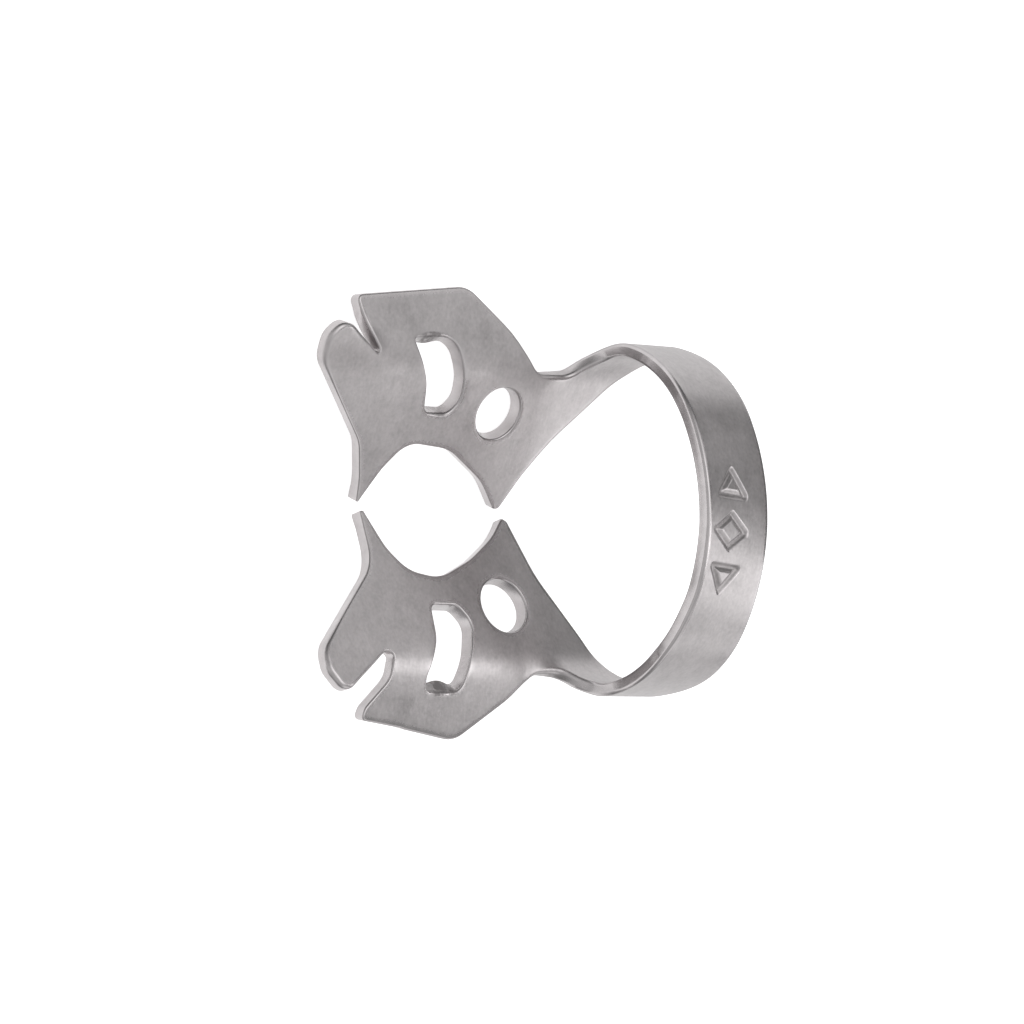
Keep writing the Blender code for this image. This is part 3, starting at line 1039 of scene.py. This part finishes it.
    def to_object(self, points: np.ndarray, triangles: Sequence[tuple],
                  steel: bpy.types.Material) -> bpy.types.Object:
        """Lay the clamp down as it rests, in the middle of the plain solid's box.

        Args:
            points: its vertices in metres, before it is laid down.
            triangles: its faces.
            steel: its finish.

        Returns:
            The mesh object.
        """
        turn = np.array(Euler([math.radians(a) for a in self.rest_turn]).to_matrix())
        points = points @ turn.T
        low, high = (np.array(corner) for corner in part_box(NODE))
        own_low, own_high = points.min(0), points.max(0)
        points = points + (low + high) / 2 - (own_low + own_high) / 2
        mesh = bpy.data.meshes.new("clamp_sheet")
        mesh.from_pydata(points.tolist(), [], triangles)
        bm = bmesh.new()
        bm.from_mesh(mesh)
        bmesh.ops.recalc_face_normals(bm, faces=bm.faces[:])
        open_edges = sum(1 for edge in bm.edges if len(edge.link_faces) != 2)
        bm.to_mesh(mesh)
        bm.free()
        log.info("clamp_sheet: %d triangles, %d open edges", len(triangles), open_edges)
        mesh.polygons.foreach_set("use_smooth", [True] * len(mesh.polygons))
        mesh.materials.append(steel)
        return in_scene("clamp_sheet", mesh)


# The finish


@dataclass(frozen=True)
class Pattern:
    """One noise in the steel and how strongly it shows.

    Attributes:
        scale: how often it repeats in a metre.
        detail: how many finer layers it has.
        seed: shift of the pattern.
        tone: its share in the level of the colour.
        rough: its share in the roughness.
        relief: its share in the relief.
        stretch: its scale along each axis, on top of scale.
    """

    scale: float
    detail: float
    seed: float
    tone: float
    rough: float
    relief: float
    stretch: tuple[float, float, float] = (1.0, 1.0, 1.0)

    def signal(self, bench: NodeBench, place: bpy.types.NodeSocket, roughness: float = 0.6) -> Signal:
        """Add the noise to a material.

        Args:
            bench: the material's tree.
            place: Object coordinates.
            roughness: weight of the finer layers.

        Returns:
            The noise, from -0.5 to 0.5.
        """
        drawn = bench.add("ShaderNodeVectorMath", {"operation": "MULTIPLY_ADD"}, _0=place, _1=self.stretch,
                          _2=(self.seed, self.seed, self.seed))
        node = bench.add("ShaderNodeTexNoise", Vector=drawn.outputs[0], Scale=self.scale, Detail=self.detail,
                         Roughness=roughness)
        return Signal(bench, node.outputs["Fac"]) - 0.5


@dataclass(frozen=True)
class SatinSteel:
    """Tumbled spring steel: fine grain, faint blotches, polished edges, dull stamped strokes darkened with
    painted shade, and a painted highlight along the bends.

    Attributes:
        tone: colour of the clean metal.
        dark_tone: colour of the stains, of torn metal and of the painted shade in the pressed strokes.
        roughness: roughness of the plain face.
        edge_roughness: roughness of the polished edges.
        grain, patch, blotch, streak: the patterns, from the finest to the broadest, and the drawn lines.
        sheen_streak, sheen_tone, bend_rough: what the painted highlight along the bends adds to streaks,
            colour and roughness.
        dull_rough: what tumbling adds to the roughness of a fold.
        press_shade, press_rough: painted shade and roughness in the pressed strokes.
        stain, stain_from: stain in the darkest blotches, and where it starts.
        torn_level, torn_patch, torn_grain, torn_from: how torn metal spreads over its spot.
        torn_dirt, torn_rough, torn_relief: how it looks.
        worn_relief: share of the relief that polishing takes away.
    """

    tone: tuple[float, float, float] = (0.475, 0.452, 0.455)
    dark_tone: tuple[float, float, float] = (0.13, 0.12, 0.12)
    roughness: float = 0.33
    edge_roughness: float = 0.22
    grain: Pattern = Pattern(5200.0, 3.0, seed=0.0, tone=0.42, rough=0.08, relief=0.7)
    patch: Pattern = Pattern(1500.0, 3.0, seed=0.7, tone=0.30, rough=0.0, relief=0.6)
    blotch: Pattern = Pattern(420.0, 4.0, seed=0.3, tone=0.30, rough=0.14, relief=0.6)
    streak: Pattern = Pattern(1.0, 2.0, seed=1.9, tone=0.14, rough=0.0, relief=0.4,
                              stretch=(7000.0, 900.0, 7000.0))
    # what the painted highlight along the bends adds to streaks, colour and roughness
    sheen_streak: float = 0.16
    sheen_tone: float = 0.08
    bend_rough: float = 0.05
    dull_rough: float = 0.26
    # painted shade in the pressed strokes
    press_shade: float = 0.45
    press_rough: float = 0.08
    stain: float = 0.9
    stain_from: float = -0.09
    torn_level: float = 1.4
    torn_patch: float = 5.0
    torn_grain: float = 3.0
    torn_from: float = 0.25
    torn_dirt: float = 0.62
    torn_rough: float = 0.25
    torn_relief: float = 6.0
    worn_relief: float = 0.85

    @staticmethod
    def own(bench: NodeBench, name: str) -> Signal:
        """One of the piece's own attributes."""
        settings = {"attribute_name": name, "attribute_type": "GEOMETRY"}
        return Signal(bench, bench.add("ShaderNodeAttribute", settings).outputs["Fac"])

    def material(self) -> bpy.types.Material:
        """Make the finish.

        Returns:
            A material that reads the piece's attributes wear, press, torn, and the one that carries the
            painted highlight along the bends.
        """
        steel = bpy.data.materials.new(SLOT)
        bench = NodeBench.emptied(steel)
        place = bench.add("ShaderNodeTexCoord").outputs["Object"]
        grain, patch, blotch, streak = (
            pattern.signal(bench, place) for pattern in (self.grain, self.patch, self.blotch, self.streak))
        wear, press, torn, painted_sheen_and_dulling = (self.own(bench, name) for name in ("wear", "press", "torn", "painted_sheen_and_dulling"))
        # the positive part of the bend attribute is a painted highlight along the bends; its negative part
        # only adds roughness
        painted_sheen, dull, inner = painted_sheen_and_dulling.clamped(), (painted_sheen_and_dulling * -1.0).clamped(), 1.0 - wear

        # the colour's level, with a painted highlight along the bends: paler colour and stronger streaks
        # there
        level = (1.0 + blotch * self.blotch.tone + patch * self.patch.tone + grain * self.grain.tone * inner
                 + streak * (self.streak.tone + painted_sheen * self.sheen_streak) * inner
                 + painted_sheen * self.sheen_tone * inner)
        spread = self.torn_level + patch * self.torn_patch + grain * self.torn_grain
        ragged = (torn * spread - self.torn_from).clamped()
        # darkening: painted shade in the pressed strokes, stains in the darkest blotches, and torn metal
        dirt_and_shade = (press * self.press_shade + (self.stain_from - blotch) * self.stain * inner
                + ragged * self.torn_dirt).clamped()
        # inputs 6 and 7 are the mixed colours, and output 2 is their mix
        colour = bench.add("ShaderNodeMix", {"data_type": "RGBA"}, Factor=dirt_and_shade, _6=(*self.tone, 1.0),
                           _7=(*self.dark_tone, 1.0))
        shade = bench.add("ShaderNodeVectorMath", {"operation": "SCALE"}, _0=colour.outputs[2], Scale=level)
        rough = (self.roughness + blotch * self.blotch.rough + grain * self.grain.rough
                 - wear * (self.roughness - self.edge_roughness) + press * self.press_rough
                 + ragged * self.torn_rough + dull * self.dull_rough + painted_sheen * self.bend_rough)
        fine = grain * self.grain.relief + patch * self.patch.relief + streak * self.streak.relief
        relief = (fine * (1.0 - wear * self.worn_relief) + blotch * self.blotch.relief
                  + ragged * patch * self.torn_relief)
        bump = bench.add("ShaderNodeBump", Strength=0.24, Distance=0.00003, Height=relief)
        shader = bench.add("ShaderNodeBsdfPrincipled", Base_Color=shade.outputs[0], Metallic=1.0,
                           Roughness=rough, Normal=bump.outputs[0])
        bench.add("ShaderNodeOutputMaterial", Surface=shader.outputs[0])
        return steel


# The studio


def direction(azimuth: float, elevation: float) -> Vector:
    """Unit vector towards an azimuth and elevation in degrees."""
    a, e = math.radians(azimuth), math.radians(elevation)
    return Vector((math.cos(a) * math.cos(e), math.sin(a) * math.cos(e), math.sin(e)))


@dataclass(frozen=True)
class SkyGlow:
    """A broad soft glow in the sky around the bench, with its direction in degrees."""

    azimuth: float
    elevation: float
    strength: float
    tightness: float = 24.0


@dataclass(frozen=True)
class Card:
    """A small soft lamp that hangs near the clamp and is aimed at one place on it. Metres and watts."""

    name: str
    place: tuple[float, float, float]
    aim: tuple[float, float, float]
    size: float
    power: float

    def hang(self) -> None:
        """Add the lamp."""
        data = bpy.data.lights.new(self.name, "AREA")
        data.shape, data.size, data.energy = "SQUARE", self.size, self.power
        lamp = in_scene(self.name, data)
        lamp.location = self.place
        lamp.rotation_euler = (Vector(self.aim) - Vector(self.place)).to_track_quat("-Z", "Y").to_euler()
        lamp.visible_camera = False


@dataclass
class Studio:
    """Pale bench, soft sky, near cards and the camera at the picture's angle."""

    eye: tuple[float, float, float] = (-0.25780, 0.04961, 0.23834)
    target: tuple[float, float, float] = (-0.00103, 0.00076, 0.00546)
    roll: float = -108.4805
    lens: float = 246.1
    sensor: float = 36.0
    bench_size: float = 3.0
    bench_paper: float = 0.88
    bench_white: float = 0.75
    bench_glow: float = 0.25
    front_glow: float = 0.42
    front_ends: tuple[float, float] = (0.010, 0.002)
    sky_level: float = 0.03
    horizon_level: float = 0.90
    horizon_tightness: float = 14.0
    glows: tuple[SkyGlow, ...] = (
        SkyGlow(60.0, 62.0, 1.68), SkyGlow(-45.0, 37.0, 0.78), SkyGlow(45.0, 37.0, 0.22),
        SkyGlow(-60.0, 62.0, 0.27), SkyGlow(-75.0, 37.0, 0.41), SkyGlow(-25.0, 14.0, 0.27),
        SkyGlow(-45.0, 14.0, 0.15), SkyGlow(15.0, 14.0, 0.05), SkyGlow(180.0, 40.0, 0.80, tightness=4.0),
    )
    cards: tuple[Card, ...] = (
        Card("leg_card", (0.0410, -0.0077, 0.0257), (0.0054, 0.0058, 0.0016), 0.012, 0.00066),
        Card("fold_card", (0.0340, 0.0009, 0.0344), (0.0011, -0.0074, 0.0049), 0.012, 0.00052),
        Card("front_fold_card", (0.0274, 0.0010, 0.0347), (-0.0052, -0.0074, 0.0048), 0.012, 0.00044),
        Card("wing_card", (0.0527, 0.0076, 0.0580), (-0.0052, -0.0074, 0.0048), 0.022, 0.00098),
        Card("band_card", (0.0772, -0.0418, 0.0351), (0.0109, -0.0044, 0.0105), 0.022, 0.00082),
        Card("tongue_card", (0.0478, 0.0369, 0.0397), (-0.0096, -0.0063, 0.0043), 0.022, 0.00092),
    )

    def build(self) -> None:
        """Set up the whole studio."""
        self.add_bench()
        self.add_world()
        for card in self.cards:
            card.hang()
        self.add_camera()
        bpy.context.scene.view_settings.view_transform = "Standard"

    def add_bench(self) -> None:
        """The pale surface that the clamp lies on."""
        half = self.bench_size / 2
        mesh = bpy.data.meshes.new("bench")
        corners = [(-half, -half, 0.0), (half, -half, 0.0), (half, half, 0.0), (-half, half, 0.0)]
        mesh.from_pydata(corners, [], [(0, 1, 2, 3)])
        material = bpy.data.materials.new("bench_white")
        bench = NodeBench.emptied(material)
        rays = bench.add("ShaderNodeLightPath").outputs
        seen, mirrored = Signal(bench, rays["Is Camera Ray"]), Signal(bench, rays["Is Glossy Ray"])
        white = self.bench_paper
        paper = bench.add("ShaderNodeBsdfDiffuse", Color=(white, white, white, 1.0))
        place = bench.add("ShaderNodeSeparateXYZ", Vector=bench.add("ShaderNodeTexCoord").outputs["Object"])
        ends = self.front_ends
        front = ((ends[0] - Signal(bench, place.outputs["X"])) / (ends[0] - ends[1])).clamped()
        strength = seen * self.bench_white + mirrored * (self.bench_glow + front * self.front_glow)
        glow = bench.add("ShaderNodeEmission", Color=(1.0, 1.0, 1.0, 1.0), Strength=strength)
        both = bench.add("ShaderNodeAddShader", _0=paper.outputs[0], _1=glow.outputs[0])
        bench.add("ShaderNodeOutputMaterial", Surface=both.outputs[0])
        mesh.materials.append(material)
        surface = in_scene("bench", mesh)

    def add_world(self) -> None:
        """A sky of soft glows around the clamp, white where the camera sees it."""
        world = bpy.data.worlds.new("studio")
        bpy.context.scene.world = world
        bench = NodeBench.emptied(world)
        seen = Signal(bench, bench.add("ShaderNodeLightPath").outputs["Is Camera Ray"])
        way = bench.add("ShaderNodeTexCoord").outputs["Generated"]
        height = Signal(bench, bench.add("ShaderNodeSeparateXYZ", Vector=way).outputs["Z"])
        low_sky = (1.0 - height).clamped() ** self.horizon_tightness
        level = self.sky_level + low_sky * self.horizon_level
        for glow in self.glows:
            towards = bench.add("ShaderNodeVectorMath", {"operation": "DOT_PRODUCT"}, _0=way,
                                _1=direction(glow.azimuth, glow.elevation))
            nearness = Signal(bench, towards.outputs["Value"]) * 0.5 + 0.5
            level = level + nearness ** glow.tightness * glow.strength
        sky = bench.add("ShaderNodeBackground", Color=(1.0, 1.0, 1.0, 1.0),
                        Strength=level * (1.0 - seen) + seen)
        bench.add("ShaderNodeOutputWorld", Surface=sky.outputs[0])

    def add_camera(self) -> None:
        """The camera at the picture's viewing angle, turned as the picture is."""
        data = bpy.data.cameras.new("camera")
        data.lens, data.sensor_width, data.sensor_fit = self.lens, self.sensor, "HORIZONTAL"
        camera = in_scene("camera", data)
        eye, target = Vector(self.eye), Vector(self.target)
        look = (target - eye).to_track_quat("-Z", "Y").to_matrix().to_4x4()
        roll = Matrix.Rotation(math.radians(-self.roll), 4, "Z")
        camera.matrix_world = Matrix.Translation(eye) @ look @ roll
        bpy.context.scene.camera = camera


def main() -> None:
    """Build the clamp and its studio."""
    logging.basicConfig(level=logging.INFO, format="%(name)s: %(message)s")
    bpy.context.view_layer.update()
    steel = SatinSteel().material()
    sheet = ClampSheet().build(steel)
    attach(sheet, "root")
    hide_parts(NODE)
    Studio().build()


if __name__ == "__main__":
    main()
